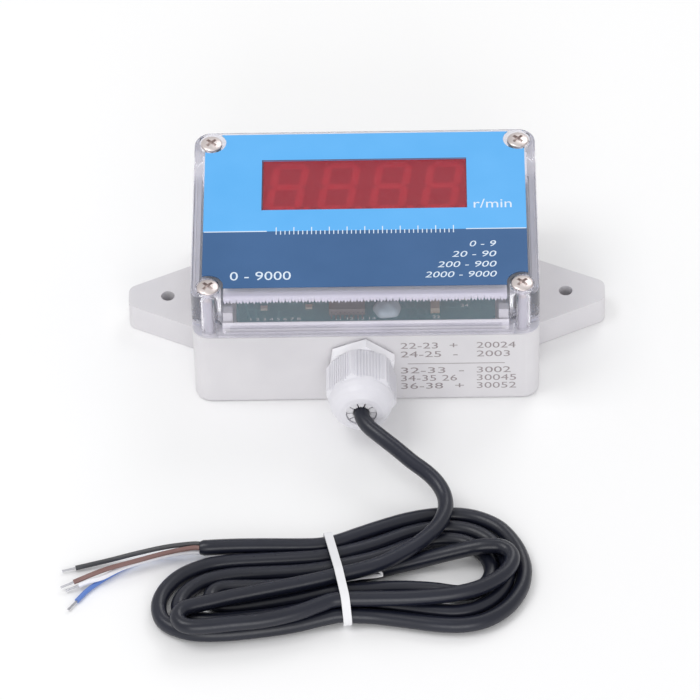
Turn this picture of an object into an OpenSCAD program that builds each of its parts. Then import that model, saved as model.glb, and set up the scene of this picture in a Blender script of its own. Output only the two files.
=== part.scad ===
// Wall-mounted digital tachometer display: a sealed white case with screw ears, a clear screwed lid,
// a printed face film, a four-digit display on a board, and a sensor cable through a gland.
// Millimetres. The rear face lies on z = 0, the cable leaves towards -Y, and the ears lie along X.

/* [Case] */
// Width of the case between its side walls, without the ears
case_w = 100; // [94:1:130]
// Depth of the case from the gland wall to the far wall
case_d = 70; // [68:1:90]
// Height of the rear case up to its rim
base_h = 26; // [26:0.5:36]
// Thickness of the side walls
wall_t = 2.6; // [2.4:0.1:3]
// Thickness of the rear wall
floor_t = 2.5; // [2:0.1:4]
// Radius of the upright corners
corner_r = 5; // [4:0.5:6]
// Radius of the long outer edges
edge_r = 1; // [0.6:0.1:1.4]
// Height of the corner guides above the rim
guide_h = 5.8; // [2:0.2:9]
// Width of a corner guide
guide_w = 2.8; // [2:0.2:3]
// Depth of a corner guide
guide_d = 2.6; // [2:0.2:3]

/* [Ears] */
// Distance of the ear hole from the side wall
ear_hole_out = 8.5; // [7:0.5:11]
// Diameter of the ear hole
ear_hole_d = 4; // [3:0.1:5]
// Thickness of the ear
ear_t = 9; // [5:0.5:12]
// Distance of the ear's tip from the side wall
ear_reach = 20; // [16:0.5:26]
// Width of the ear where it leaves the side wall
ear_root_w = 27; // [20:0.5:40]
// Width of the ear across its tip
ear_tip_w = 9.6; // [8:0.2:14]
// Radius of the ear's tip corners
ear_tip_r = 3; // [2:0.2:3.6]

/* [Cover] */
// Height of the clear lid above the seam
lid_h = 15.6; // [15:0.2:22]
// Thickness of the lid's face
lid_face_t = 2.4; // [2:0.1:3]
// Height of the lid's locating lip below the seam
lip_h = 1.2; // [0.8:0.1:1.4]
// Thickness of the locating lip
lip_t = 1.2; // [0.8:0.1:1.6]
// Gap between the lip and the rear case
lip_gap = 0.25; // [0.15:0.05:0.4]
// Height of the ledge that carries the lip inside the lid
ledge_h = 1.4; // [0.8:0.2:3]
// Diameter of the lid's screw columns
column_d = 7.4; // [7:0.1:8]

/* [Gasket] */
// Width of the groove in the rim
groove_w = 1.4; // [1.2:0.1:1.6]
// Depth of the groove in the rim
groove_d = 1.2; // [0.8:0.1:2]
// Side clearance of the gasket in its groove
gasket_gap = 0.1; // [0.05:0.05:0.2]
// Open seam between the rim and the lid
seam = 0.4; // [0.2:0.1:0.8]

/* [Cover screws] */
// Distance of a screw axis from the outer walls
screw_inset = 5; // [4.8:0.1:5.6]
// Diameter of the screw bosses in the rear case
boss_d = 9; // [8.6:0.2:9.6]
// Diameter of the screw shank
screw_d = 3; // [2.6:0.1:3.2]
// Diameter of the screw head
head_d = 6.3; // [5.6:0.1:6.8]
// Height of the screw head
head_h = 2; // [1.6:0.1:2.4]
// Depth of the pocket under the head
pocket_depth = 1.5; // [0.8:0.1:2]
// Length of the shank below the head
screw_len = 28; // [20:1:34]
// Clearance round the shank in the lid
screw_gap = 0.3; // [0.2:0.05:0.4]

/* [Face] */
// Margin of the lid left bare at each side of the face film
label_side = 3.25; // [2.8:0.05:6]
// Margin of the lid left bare in front of the film
label_front = 4.2; // [2:0.1:6]
// Margin of the lid left bare behind the film
label_back = 1.8; // [1.4:0.1:6]
// Thickness of the face film
label_t = 0.3; // [0.2:0.05:0.5]
// Radius of the film's notches round the screws
notch_r = 4.4; // [3.8:0.1:5]
// Width of the display window
window_w = 59.4; // [52:0.2:64]
// Depth of the display window
window_d = 20.8; // [16:0.2:24]
// Distance of the window's middle in front of the display's middle
window_shift = 1.5; // [0:0.1:3]
// Thickness of the red filter film
filter_t = 0.2; // [0.1:0.05:0.2]
// Gap round the filter in the window
filter_gap = 0.1; // [0.05:0.05:0.2]

/* [Display] */
// Width of the display module
display_w = 60.2; // [56:0.2:62]
// Depth of the display module
display_d = 27.6; // [24:0.2:30]
// Height of the display module
display_h = 11.2; // [9:0.1:11.4]
// Distance of the display from the board's rear edge
display_back = 3.2; // [2:0.2:4.4]
// Gap between the display and the lid's face
display_gap = 0.4; // [0.3:0.05:1]
// Height of a digit
digit_h = 20.3; // [16:0.1:22]
// Width of a digit
digit_w = 10.6; // [9:0.1:11]
// Distance from digit to digit
digit_pitch = 15.05; // [14.6:0.05:15.05]
// Width of a digit's bar
bar_w = 2.2; // [1.6:0.1:2.6]
// Height of the bars above the display's face
bar_t = 0.15; // [0.1:0.01:0.2]
// Lean of the digits in degrees
digit_lean = 8; // [0:1:10]
// Diameter of a display pin
pin_d = 0.6; // [0.4:0.05:0.8]
// Distance from pin to pin
pin_pitch = 2.54; // [2:0.01:2.54]
// Pins in a row
pin_count = 8; // [4:1:12]
// Distance between the two rows of pins
pin_row_gap = 22.9; // [20:0.1:23]
// Length of a pin below the board
pin_tail = 1.6; // [1:0.1:2.5]

/* [Board] */
// Width of the circuit board
board_w = 74.6; // [73:0.2:75.4]
// Gap between the board and the front and rear walls
board_gap = 2.4; // [2:0.1:4]
// Thickness of the circuit board
board_t = 1.6; // [1.2:0.1:2]
// Radius of the board's corners
board_r = 2; // [1:0.5:3]
// Distance of the board's screws from its side edges
board_screw_in = 3.4; // [3:0.1:3.8]
// Distance of the front pair of board screws from the board's front edge
board_screw_front = 18; // [16:0.5:22]
// Distance of the rear pair of board screws from the board's rear edge
board_screw_back = 7; // [5:0.5:10]
// Diameter of the posts that carry the board
post_d = 6; // [5:0.2:6.4]
// Diameter of a board screw's shank
board_screw_d = 2.5; // [2:0.1:3]
// Length of a board screw below its head
board_screw_len = 8; // [6:0.5:12]
// Diameter of a board screw's head
board_head_d = 4.6; // [4:0.1:5]
// Height of a board screw's head
board_head_h = 1.6; // [1.2:0.1:2]
// Clearance of pins and screws in their holes
hole_gap = 0.15; // [0.1:0.05:0.3]

/* [Gland] */
// Place of the gland's axis along the gland wall
gland_x = -1.5; // [-6:0.5:6]
// Distance of the gland's axis below the rim of the rear case
gland_drop = 10.5; // [10:0.25:11.5]
// Diameter of the gland's thread
thread_d = 15.2; // [14:0.1:15.4]
// Clearance of the thread in the wall
thread_gap = 0.2; // [0.1:0.05:0.3]
// Width across the flats of the gland's body and nut
gland_flats = 18; // [17:0.5:19]
// Thickness of the washer under the body's hexagon
washer_t = 0.8; // [0.5:0.1:1.2]
// Thickness of the body's hexagon
flange_t = 3.2; // [2.5:0.1:5]
// Turn of the body's hexagon in degrees
flange_turn = 8; // [0:1:30]
// Gap between the body's hexagon and the nut
nut_gap = 0.3; // [0.2:0.1:0.6]
// Length of the nut's ribbed hexagon
nut_hex_len = 10.2; // [8:0.2:12]
// Length of the nut's dome
dome_len = 6.5; // [5.5:0.1:8]
// Diameter of the nut's mouth
mouth_d = 8.8; // [8:0.1:9.2]
// Ribs on each flat of the nut
rib_count = 9; // [6:1:14]
// Height of a rib
rib_h = 0.3; // [0.15:0.05:0.35]
// Turn of the nut in degrees
nut_turn = 14; // [0:1:30]
// Diameter of the stub inside the nut
stub_d = 13.4; // [12.6:0.1:13.6]
// Diameter of the passage through the body
passage_d = 8.8; // [8:0.1:9]
// Clearance between the nested gland pieces
nest_gap = 0.2; // [0.15:0.05:0.3]
// Fingers of the clamping claw
finger_count = 10; // [6:1:14]
// Width of the slots between the fingers
slot_w = 0.4; // [0.3:0.1:0.8]
// Teeth round the claw's mouth
tooth_count = 24; // [16:1:30]
// Height of a tooth
tooth_h = 0.45; // [0.3:0.05:0.6]
// Thickness of the locknut
locknut_t = 4; // [3:0.2:4.4]
// Length of the thread past the locknut
thread_tail = 0.4; // [0.2:0.1:1]

/* [Cable] */
// Diameter of the cable's sheath
cable_d = 4.5; // [4:0.1:5]
// Diameter of a core wire
core_d = 1.4; // [1.2:0.1:1.4]
// Diameter of a stripped wire end
strand_d = 0.8; // [0.6:0.1:1]
// Length of a stripped wire end
strand_len = 4.2; // [2:0.2:5]
// Gap between the cable and the gland's seal
cable_gap = 0.15; // [0.1:0.05:0.3]
// Width of the tie round the hank
tie_w = 2.4; // [2:0.1:3]
// Thickness of the tie
tie_t = 0.9; // [0.7:0.1:0.9]
// Gap between the tie and the hank
tie_gap = 0.2; // [0.1:0.05:0.3]

/* [Hidden] */
$fn = 48;
eps = 0.01;

// Heights of the stacked case
lid_z = base_h + seam;
lid_top = lid_z + lid_h;
lid_under = lid_top - lid_face_t;
in_w = case_w - 2 * wall_t;
in_d = case_d - 2 * wall_t;
screw_x = case_w / 2 - screw_inset;
screw_y = case_d / 2 - screw_inset;
boss_r = boss_d / 2;
column_r = column_d / 2;
guide_x = screw_x - column_r - lip_gap - guide_w / 2;
guide_y = screw_y - lip_gap - guide_d / 2;
head_z = lid_top - pocket_depth;
ear_hole_x = case_w / 2 + ear_hole_out;

// Heights of the board and the display, hung from the lid's face
display_z = lid_under - display_gap - display_h;
board_z = display_z - board_t;
board_screw_x = board_w / 2 - board_screw_in;
board_d = in_d - 2 * board_gap;
board_front = -board_d / 2;
display_y = board_d / 2 - display_back - display_d / 2;

// Face film and its window
label_w = case_w - 2 * label_side;
label_d = case_d - label_front - label_back;
label_y = (label_front - label_back) / 2;
window_y = display_y - window_shift;

// Places of the parts on the board: along its front edge, and back from it
controller_at = [-5.4, 6.2];
regulator_at = [20, 16.5];
capacitor_at = [-22, 17];

// Gasket groove, measured outwards from the inner wall
groove_in = (wall_t - groove_w) / 2;
groove_out = groove_in + groove_w;

// Gland axis, and its stations measured outwards from the gland wall
gland_z = base_h - gland_drop;
seal_step = 1;
seal_out = 0.8;
claw_seat = 1.4;
claw_back = 0.6;
claw_nose = 1.4;
flange_a = washer_t;
stub_a = flange_a + flange_t;
nut_a = stub_a + nut_gap;
dome_a = nut_a + nut_hex_len;
mouth_a = dome_a + dome_len;
claw_a = dome_a - claw_seat;
seal_a = flange_a + seal_step;
claw_out_a = mouth_a - claw_back;
thread_in = wall_t + locknut_t + thread_tail;
nut_bore_r = stub_d / 2 + nest_gap;
seal_bore_r = cable_d / 2 + cable_gap;
mouth_r = mouth_d / 2;

// Hank of folded cable: end loops, waist and free end of the sheath
hank_top = 10.7;
hank_left = [-45.6, -116];
hank_left_r = 15.3;
hank_right = [23.2, -103.4];
hank_right_r = 24.7;
waist_mid = [-8.5, -108.1];
waist_w = 32.4;
waist_len = 8;
waist_top = 9.5;
waist_turn = 10;
sheath_end = [-47.5, -96.4];
sheath_end_w = cable_d;
sheath_end_top = 6.2;

// Place on the hank's right loop where the lead meets a flat of its outline
meet_way = [-sin(180 / $fn), cos(180 / $fn)];
meet_r = hank_right_r * cos(180 / $fn);
meet_straight = 1.2;
meet_z = 8.3;

// Cable lead from inside the case to the hank
lead_in = 6;
lead_out = 3;
lead_route = [
    [gland_x, lead_in - case_d / 2, gland_z],
    [gland_x, -case_d / 2, gland_z],
    [gland_x, -case_d / 2 - dome_a, gland_z],
    [gland_x, -case_d / 2 - mouth_a, gland_z],
    [gland_x, -case_d / 2 - mouth_a - lead_out, gland_z],
    [3.4, -64.1, 14.6],
    [7.7, -67.5, 13.3],
    [12.7, -71.1, 11.7],
    [17.2, -74.3, 10.1],
    [for (v = hank_right + (meet_r + meet_straight) * meet_way) v, meet_z],
    [for (v = hank_right + meet_r * meet_way) v, meet_z]
];
lead_sides = 10;
lead_steps = 2;

// Cores inside the case: place on the board, spread in the sheath, spacing at the board and first bend
core_x = 6.2;
core_back = 5;
core_spread = 0.9;
core_row = 2.5;
core_bend = 1.8;

// Core wires from the sheath's end to where they are stripped
wire_black_route = [
    [-47.5, -95.6, 4.8], [-50, -95.6, 4.8], [-57, -96.2, 4.3],
    [-65, -97.2, 3], [-73, -98.6, 1.7], [-82.5, -100.8, 1]
];
wire_brown_route = [
    [-47.5, -97.2, 4.8], [-50, -97.2, 4.8], [-57, -98.7, 4.5],
    [-65, -101.1, 4.1], [-74, -104, 3.7], [-82.8, -107.1, 2]
];
wire_white_route = [
    [-47.5, -95.6, 3], [-50, -95.6, 3], [-56, -96.3, 2.9], [-62, -98.6, 2.5], [-66.8, -100.7, 2.3],
    [-70.7, -103, 2.25], [-74.7, -105.7, 2.25], [-78.2, -107, 2.25], [-81.3, -108, 1.6]
];
wire_blue_route = [
    [-47.5, -97.2, 3], [-50, -97.2, 3], [-55, -97.4, 1.5], [-60, -98, 0.9], [-67.4, -100.3, 0.8],
    [-71.6, -102.5, 0.8], [-75.1, -105.3, 0.8], [-78.8, -108.9, 0.8], [-81.8, -113.2, 0.8]
];
wire_sides = 8;
wire_steps = 2;

// Rectangle with round corners, made of true arcs
module round_rect(w, d, r) {
    square([w - 2 * r, d], center = true);
    square([w, d - 2 * r], center = true);
    for (sx = [-1, 1], sy = [-1, 1]) translate([sx * (w / 2 - r), sy * (d / 2 - r)]) circle(r);
}

// Block with round upright corners whose lower edge is rounded too
module soft_block(w, d, h, r, e) {
    steps = 4;
    hull() {
        for (i = [0:steps - 1]) {
            a = 90 * i / steps;
            inset = e * (1 - sin(a));
            translate([0, 0, e * (1 - cos(a))])
                linear_extrude(eps) round_rect(w - 2 * inset, d - 2 * inset, r - inset, $fn = 40);
        }
        translate([0, 0, e]) linear_extrude(h - e) round_rect(w, d, r, $fn = 40);
    }
}

// Inside of the case with its corners kept solid for the screws to the radius r, grown outwards by g
module cavity(g, r = boss_r) {
    far = 2 * screw_inset;
    difference() {
        square([in_w + 2 * g, in_d + 2 * g], center = true);
        for (a = [0, 1], b = [0, 1]) mirror([a, 0]) mirror([0, b]) translate([screw_x, screw_y]) {
            circle(r - g);
            translate([0, g - r]) square(far + r);
            translate([g - r, 0]) square(far + r);
        }
    }
}

module at_screws() {
    for (sx = [-1, 1], sy = [-1, 1]) translate([sx * screw_x, sy * screw_y]) children();
}

module at_board_screws() {
    for (sx = [-1, 1], y = [board_front + board_screw_front, -board_front - board_screw_back])
        translate([sx * board_screw_x, y]) children();
}

// Point where a line from p touches a circle at c with radius r, on its left side
function touch(p, c, r) =
    let (d = norm(c - p), a = atan2(c.y - p.y, c.x - p.x) + asin(r / d), t = sqrt(d * d - r * r))
    [p.x + t * cos(a), p.y + t * sin(a)];

// Tapered ear outline, its root on the side wall at x = 0 and its tip at ear_reach
module ear_outline() {
    root = [0, ear_root_w / 2];
    c = [ear_reach - ear_tip_r, ear_tip_w / 2 - ear_tip_r];
    edge = touch(root, c, ear_tip_r);
    polygon([
        [-wall_t, ear_root_w / 2], root, edge, c, [ear_reach, c.y], [ear_reach, -c.y], [c.x, -c.y],
        [edge.x, -edge.y], [0, -root.y], [-wall_t, -root.y]
    ]);
    for (s = [-1, 1]) translate([c.x, s * c.y]) circle(ear_tip_r);
}

// Moves children to the gland's axis, with their +Z pointing out of the gland wall
module on_gland() {
    translate([gland_x, -case_d / 2, gland_z]) rotate([90, 0, 0]) children();
}

module hexagon(flats, turn) {
    rotate(turn) circle(d = flats / cos(30), $fn = 6);
}

// Smooth curve through the points p, with n steps between neighbours and a straight stretch at each end
function curve_point(p, i, t) =
    let (
        a = p[max(i - 1, 0)],
        b = p[i],
        c = p[i + 1],
        d = p[min(i + 2, len(p) - 1)]
    )
    0.5 * (2 * b + (c - a) * t + (2 * a - 5 * b + 4 * c - d) * t * t + (3 * b - a - 3 * c + d) * t * t * t);
function curve(p, n) = [
    p[0],
    for (i = [1:len(p) - 3], k = [0:n - 1]) curve_point(p, i, k / n),
    p[len(p) - 2],
    p[len(p) - 1]
];
function between(a, b, t) = a + (b - a) * t;
function heading(c, i) =
    let (v = c[min(i + 1, len(c) - 1)] - c[max(i - 1, 0)])
    v / norm(v);
function side_of(t, level) =
    let (s = cross(t, level))
    s / norm(s);

// Round tube of diameter d and the given number of sides, swept along the points c.
// No stretch of it runs along the direction called level.
module tube(c, d, sides, level = [0, 0, 1]) {
    n = len(c);
    rings = [
        for (i = [0:n - 1])
            let (t = heading(c, i), u = side_of(t, level), v = cross(u, t))
            for (k = [0:sides - 1])
                c[i] + d / 2 * (cos(360 * k / sides) * u + sin(360 * k / sides) * v)
    ];
    walls = [
        for (i = [0:n - 2], k = [0:sides - 1])
            let (m = (k + 1) % sides)
            [i * sides + k, (i + 1) * sides + k, (i + 1) * sides + m, i * sides + m]
    ];
    ends = [[for (k = [0:sides - 1]) k], [for (k = [sides - 1:-1:0]) (n - 1) * sides + k]];
    polyhedron(rings, concat(walls, ends), convexity = 6);
}

// Upright guides beside the corner bosses, grown sideways by g
module corner_guides(g) {
    for (sx = [-1, 1], sy = [-1, 1]) translate([sx * guide_x, sy * guide_y, floor_t - eps])
        linear_extrude(base_h + guide_h - floor_t) square([guide_w + 2 * g, guide_d + 2 * g], center = true);
}

// White tub with ears, corner bosses, board posts, a gasket groove and the gland's hole
module rear_case() {
    color("#dcdadd") difference() {
        union() {
            difference() {
                soft_block(case_w, case_d, base_h, corner_r, edge_r);
                translate([0, 0, floor_t]) linear_extrude(base_h) cavity(0);
            }
            for (s = [0, 1]) mirror([s, 0, 0])
                translate([case_w / 2, 0, 0]) linear_extrude(ear_t) ear_outline();
            translate([0, 0, floor_t - eps]) linear_extrude(board_z - floor_t + eps)
                at_board_screws() circle(d = post_d);
            corner_guides(0);
        }
        translate([0, 0, base_h - groove_d]) linear_extrude(groove_d + 1) difference() {
            cavity(groove_out);
            cavity(groove_in);
        }
        for (s = [-1, 1]) translate([s * ear_hole_x, 0, -1]) cylinder(d = ear_hole_d, h = ear_t + 2);
        at_screws() translate([0, 0, head_z - screw_len - 1])
            cylinder(d = screw_d + 2 * hole_gap, h = lid_top);
        at_board_screws() translate([0, 0, board_z + board_t - board_screw_len - 1])
            cylinder(d = board_screw_d + 2 * hole_gap, h = board_screw_len);
        on_gland() translate([0, 0, -2 * wall_t]) cylinder(d = thread_d + 2 * thread_gap, h = 3 * wall_t);
    }
}

// Rubber cord lying in the rim's groove and closing the seam
module lid_gasket() {
    color("#5c5c60") translate([0, 0, base_h - groove_d]) linear_extrude(groove_d + seam) difference() {
        cavity(groove_out - gasket_gap);
        cavity(groove_in + gasket_gap);
    }
}

// Clear lid: a shallow shell with hollow screw columns and a locating lip
module front_cover() {
    color("#dfe3ee", 0.35) difference() {
        union() {
            difference() {
                translate([0, 0, lid_top]) mirror([0, 0, 1])
                    soft_block(case_w, case_d, lid_h, corner_r, edge_r);
                translate([0, 0, lid_z - 1]) linear_extrude(lid_h - lid_face_t + 1) cavity(0, column_r);
            }
            difference() {
                union() {
                    translate([0, 0, lid_z]) linear_extrude(ledge_h) difference() {
                        cavity(eps, column_r);
                        cavity(-lip_gap - lip_t);
                    }
                    translate([0, 0, lid_z - lip_h]) linear_extrude(lip_h + eps) difference() {
                        cavity(-lip_gap);
                        cavity(-lip_gap - lip_t);
                    }
                }
                corner_guides(lip_gap - eps);
            }
        }
        at_screws() translate([0, 0, lid_z - 1]) cylinder(d = screw_d + 2 * screw_gap, h = lid_h + 2);
        at_screws() translate([0, 0, head_z]) cylinder(d = head_d + 2 * screw_gap, h = head_h + 1);
    }
}

// Pan-head screws with a cross recess, one in each corner of the lid
module cover_screws() {
    crown = 0.7;
    recess_w = 0.9;
    recess_l = 3.6;
    recess_d = 1.2;
    color("#d6d2cc") at_screws() translate([0, 0, head_z]) difference() {
        union() {
            rotate_extrude() polygon([
                [0, 0], [head_d / 2, 0], [head_d / 2, head_h - crown],
                for (a = [15:15:90]) [head_d / 2 * cos(a), head_h - crown + crown * sin(a)]
            ]);
            translate([0, 0, -screw_len]) cylinder(d = screw_d, h = screw_len + eps);
        }
        for (a = [45, 135]) rotate(a) translate([0, 0, head_h - recess_d / 2 + eps])
            cube([recess_l, recess_w, recess_d], center = true);
    }
}

// Printed film on the lid's face, with the display window and notched corners
module face_label() {
    film_r = 1;
    color("#4d6f9c") translate([0, 0, lid_top]) linear_extrude(label_t) difference() {
        translate([0, label_y]) round_rect(label_w, label_d, film_r);
        translate([0, window_y]) square([window_w, window_d], center = true);
        at_screws() circle(notch_r);
    }
}

// Red film that fills the window
module display_filter() {
    color("#aa4650", 0.8) translate([0, window_y, lid_top + filter_t / 2])
        cube([window_w - 2 * filter_gap, window_d - 2 * filter_gap, filter_t], center = true);
}

module at_pins() {
    for (row = [-1, 1], i = [0:pin_count - 1])
        translate([(i - (pin_count - 1) / 2) * pin_pitch, display_y + row * pin_row_gap / 2]) children();
}

// Green board with holes for its screws, the display's pins and the cable's cores
module main_board() {
    color("#5f7a70") translate([0, 0, board_z]) linear_extrude(board_t) difference() {
        round_rect(board_w, board_d, board_r);
        at_board_screws() circle(d = board_screw_d + 2 * hole_gap);
        at_pins() circle(d = pin_d + 2 * hole_gap);
    }
}

// Pan-head screws that hold the board on its posts
module board_screws() {
    color("#b9b9bd") at_board_screws() translate([0, 0, board_z + board_t]) difference() {
        union() {
            rotate_extrude() polygon([
                [0, 0], [board_head_d / 2, 0],
                for (a = [0:15:90]) [board_head_d / 2 * cos(a), board_head_h * (0.4 + 0.6 * sin(a))]
            ]);
            translate([0, 0, -board_screw_len]) cylinder(d = board_screw_d, h = board_screw_len + eps);
        }
        for (a = [0, 90]) rotate(a) translate([0, 0, board_head_h])
            cube([board_head_d * 0.55, 0.6, 1.4], center = true);
    }
}

// Black display block with a bevelled face edge
module display_module() {
    color("#2b2526") translate([0, display_y, display_z]) difference() {
        linear_extrude(display_h) square([display_w, display_d], center = true);
        for (s = [-1, 1]) translate([0, s * display_d / 2, display_h]) rotate([45, 0, 0])
            cube([display_w + 1, 0.8, 0.8], center = true);
    }
}

// One bar of a digit, lying along X with pointed ends
module bar(l) {
    h = bar_w / 2;
    polygon([[-l / 2, 0], [-l / 2 + h, h], [l / 2 - h, h], [l / 2, 0], [l / 2 - h, -h], [-l / 2 + h, -h]]);
}

// Seven bars of a digit, upright, before the lean
module digit_bars() {
    split = 0.3;
    across = digit_w - bar_w;
    tall = (digit_h - bar_w) / 2;
    for (y = [-1, 0, 1]) translate([0, y * tall]) bar(across - split);
    for (sx = [-1, 1], sy = [-1, 1]) translate([sx * across / 2, sy * tall / 2]) rotate(90) bar(tall - split);
}

// Pale bars of the four digits with their decimal points
module digit_segments() {
    point_d = 2;
    lean = [[1, tan(digit_lean), 0, 0], [0, 1, 0, 0], [0, 0, 1, 0], [0, 0, 0, 1]];
    color("#b8a6a4") translate([0, display_y, display_z + display_h]) linear_extrude(bar_t)
        for (i = [-1.5:1:1.5]) translate([i * digit_pitch, 0]) {
            multmatrix(lean) digit_bars();
            translate([digit_w / 2 + 0.4, -digit_h / 2 + point_d / 2]) circle(d = point_d);
        }
}

// Two rows of pins from the display down through the board
module display_pins() {
    color("#c9c5b8") translate([0, 0, board_z - pin_tail]) linear_extrude(board_t + pin_tail)
        at_pins() circle(d = pin_d);
}

// Places on the board, measured from its front edge
module on_board(at) {
    translate([at.x, board_front + at.y, board_z + board_t]) children();
}

// Wide controller chip with a row of bent leads along its front and back
module controller_chip() {
    chip = [10.4, 7.5, 2.3];
    lift = 0.2;
    lead = [0.45, 1.4, 0.3];
    lead_rise = 1.4;
    lead_pitch = 1.27;
    color("#5b5452") on_board(controller_at) {
        translate([0, 0, lift + chip.z / 2]) cube(chip, center = true);
        for (i = [-3.5:3.5], s = [-1, 1]) translate([i * lead_pitch, s * (chip.y / 2 + lead.y / 2), 0]) {
            translate([0, 0, lead.z / 2]) cube(lead, center = true);
            translate([0, -s * (lead.y / 2 - lead.z / 2), lead_rise / 2])
                cube([lead.x, lead.z + 2 * eps, lead_rise], center = true);
        }
    }
}

// Surface-mounted regulator with its cooling tab and three leads
module voltage_regulator() {
    body = [6.5, 6.1, 2.3];
    tab = [5.2, 1.4, 0.5];
    lead = [0.8, 2.4, 0.5];
    lead_pitch = 2.28;
    color("#3a3a3c") on_board(regulator_at) {
        translate([0, 0, body.z / 2]) cube(body, center = true);
        translate([0, body.y / 2 + tab.y / 2 - eps, tab.z / 2]) cube(tab, center = true);
        for (i = [-1, 1]) translate([i * lead_pitch, -body.y / 2 - lead.y / 2 + eps, lead.z / 2])
            cube(lead, center = true);
    }
}

// Aluminium-can capacitor on its square foot
module filter_capacitor() {
    can_d = 6.3;
    can_h = 5.4;
    foot = [6.6, 6.6, 1];
    groove = 0.3;
    color("#b5b7ba") on_board(capacitor_at) {
        translate([0, 0, foot.z / 2]) cube(foot, center = true);
        translate([0, 0, foot.z - eps]) rotate_extrude() polygon([
            [0, 0], [can_d / 2, 0], [can_d / 2, 0.6], [can_d / 2 - groove, 0.9], [can_d / 2, 1.2],
            [can_d / 2, can_h - 0.4], [can_d / 2 - 0.4, can_h], [0, can_h]
        ]);
    }
}

// Small ceramic parts soldered along the board's front edge: place and size
module chip_components() {
    small = [2, 1.25, 0.8];
    large = [3.2, 1.6, 0.9];
    tall = [2.6, 4.3, 2];
    parts = [
        [[-29.3, 5.5], small], [[-16.4, 5.8], small], [[-23, 9.5], large],
        [[20, 5], tall], [[13.5, 10.5], small], [[28.5, 9], large]
    ];
    cap = 0.4;
    plating = 0.06;
    color("#8d8478") for (p = parts) on_board(p[0]) translate([0, 0, p[1].z / 2]) {
        cube(p[1], center = true);
        for (s = [-1, 1]) translate([s * (p[1].x - cap) / 2, 0, plating / 2])
            cube([cap, p[1].y + 2 * plating, p[1].z + plating], center = true);
    }
}

// Low white bead of sealant over the joints of the cable's cores
module sealant_bead() {
    bead_w = 8;
    bead_h = 2.2;
    ball_r = (bead_w * bead_w / 4 + bead_h * bead_h) / (2 * bead_h);
    color("#c9d3d6") on_board([core_x, core_back]) intersection() {
        translate([0, 0, bead_h - ball_r]) sphere(ball_r);
        cylinder(d = bead_w + 1, h = bead_h + 1);
    }
}

// Cores inside the case, from the sheath's inner end up to the board
module inner_leads() {
    start = lead_route[0];
    end_y = board_front + core_back;
    color("#8a5a50") for (sx = [-1, 1], sz = [-1, 1]) {
        from = [start.x + sx * core_spread, start.y, start.z + sz * core_spread];
        to = [core_x + sx * core_row / 2, end_y - sz * core_row / 2, board_z];
        bend = [from.x, from.y + core_bend * (2 - sz), from.z];
        under = to - [0, 0, core_d];
        low = [between(from.x, to.x, 0.3), to.y, between(from.z, under.z, 0.3)];
        high = [between(from.x, to.x, 0.7), to.y, between(from.z, under.z, 0.7)];
        tube(curve([from, bend, low, high, under, to], wire_steps), core_d, wire_sides, [1, 0, 0]);
    }
}

// Gland body: thread through the wall, hexagon outside and the stub that carries the nut
module gland_body() {
    color("#e4e3e8") on_gland() difference() {
        union() {
            translate([0, 0, -thread_in]) cylinder(d = thread_d, h = thread_in + flange_a + eps);
            translate([0, 0, flange_a]) linear_extrude(flange_t) hexagon(gland_flats, 30 - flange_turn);
            translate([0, 0, stub_a - eps]) cylinder(d = stub_d, h = claw_a - stub_a + eps);
        }
        translate([0, 0, -thread_in - 1]) cylinder(d = cable_d + 2, h = thread_in + claw_a + 2);
        translate([0, 0, seal_a]) cylinder(d = passage_d, h = claw_a);
    }
}

// Flat washer between the hexagon and the wall
module gland_washer() {
    color("#d0d0d2") on_gland() linear_extrude(washer_t) difference() {
        circle(d = gland_flats - washer_t);
        circle(d = thread_d + 2 * thread_gap);
    }
}

// Hexagon nut inside the wall
module gland_locknut() {
    color("#e4e3e8") on_gland() translate([0, 0, -wall_t - locknut_t]) linear_extrude(locknut_t) difference() {
        hexagon(gland_flats, 0);
        circle(d = thread_d + nest_gap);
    }
}

// Soft sleeve that the claw squeezes onto the cable
module gland_seal() {
    seal_len = claw_a + seal_out - seal_a;
    color("#6a6a70") on_gland() translate([0, 0, seal_a]) linear_extrude(seal_len) difference() {
        circle(d = passage_d - 2 * nest_gap);
        circle(seal_bore_r);
    }
}

// Ring of tapering fingers between the nut's dome and the cable
module gland_claw() {
    seat = 1.5;
    tooth_len = 0.9;
    tooth_start = 3;
    foot_r = nut_bore_r - nest_gap;
    tip_r = mouth_r - nest_gap;
    shoulder = claw_a + seal_out + nest_gap;
    color("#efeef2") on_gland() difference() {
        rotate_extrude() polygon([
            [passage_d / 2, claw_a], [foot_r, claw_a], [foot_r, dome_a - 2 * nest_gap],
            [tip_r, claw_out_a - claw_nose], [tip_r, claw_out_a],
            [seal_bore_r, claw_out_a], [seal_bore_r, shoulder], [passage_d / 2, shoulder]
        ]);
        for (i = [0:finger_count - 1]) rotate(360 * i / finger_count)
            translate([seal_bore_r / 2, -slot_w / 2, claw_a + seat]) cube([nut_bore_r, slot_w, mouth_a]);
        translate([0, 0, claw_out_a - tooth_len]) linear_extrude(tooth_len + 1) polygon([
            for (i = [0:2 * tooth_count - 1])
                let (a = 180 * i / tooth_count, r = seal_bore_r + (i % 2 == 0 ? tooth_h : -tooth_h))
                    r * [cos(a + tooth_start), sin(a + tooth_start)]
        ]);
    }
}

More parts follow.
